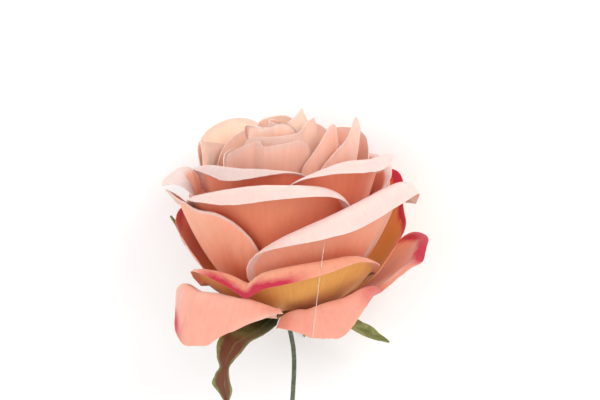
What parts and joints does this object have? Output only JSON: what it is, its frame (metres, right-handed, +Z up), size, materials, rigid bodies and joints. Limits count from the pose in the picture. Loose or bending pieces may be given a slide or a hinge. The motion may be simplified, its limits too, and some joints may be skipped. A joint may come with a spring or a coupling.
{
  "type": "artificial rose",
  "caption": "Open artificial rose with rolled cloth petals, two-colour guard petals and leafy cloth sepals on a thin green wire stem, lying on its side.",
  "frame": {"origin": "centre of the bounding box's underside, on the surface the flower lies on", "axes": "+Y from the cut end of the wire towards the bloom, +Z up from the surface"},
  "size_m": [0.0988, 0.2234, 0.0993],
  "materials": {
    "wire": "grey-green coat, satin",
    "calyx_green": "satin plastic",
    "foam": "matt foam",
    "sepal_cloth": "matt dyed cloth",
    "petal_cloth": "matt dyed cloth",
    "guard_cloth": "matt dyed cloth"
  },
  "bodies": {
    "root": {"stem_wire": "wire", "bud_core": "foam", "calyx_cup": "calyx_green", "sepal_front_left": "sepal_cloth", "sepal_right": "sepal_cloth", "sepal_left": "sepal_cloth", "sepal_front_right": "sepal_cloth", "sepal_back": "sepal_cloth", "petal_bud_heart": "petal_cloth", "petal_bud_flap": "petal_cloth", "petal_bud_wrap_left": "petal_cloth", "petal_bud_wrap_front": "petal_cloth", "petal_inner_front_right": "petal_cloth", "petal_inner_right": "petal_cloth", "petal_inner_back": "petal_cloth", "petal_inner_front": "petal_cloth", "petal_inner_left": "petal_cloth", "petal_mid_front_right": "petal_cloth", "petal_mid_right": "petal_cloth", "petal_mid_left": "petal_cloth", "petal_mid_back_left": "petal_cloth", "petal_mid_back": "petal_cloth", "petal_mid_front": "petal_cloth", "petal_cup_front_left": "petal_cloth", "petal_cup_back_right": "petal_cloth", "petal_cup_back_left": "petal_cloth", "petal_cup_right": "petal_cloth", "petal_cup_left": "petal_cloth", "petal_cup_back": "petal_cloth", "petal_front": "petal_cloth", "petal_side_right": "petal_cloth", "petal_side_back_left": "petal_cloth", "petal_outer_right": "petal_cloth", "petal_outer_left": "petal_cloth", "petal_outer_back_left": "petal_cloth", "petal_outer_back_right": "petal_cloth", "petal_guard_front": "guard_cloth", "petal_guard_left": "guard_cloth", "petal_guard_right": "guard_cloth", "petal_guard_back": "guard_cloth", "petal_low_right": "guard_cloth", "petal_low_back_left": "guard_cloth", "petal_low_back_right": "guard_cloth", "petal_low_left": "guard_cloth", "petal_low_front": "guard_cloth"}
  },
  "joints": []
}
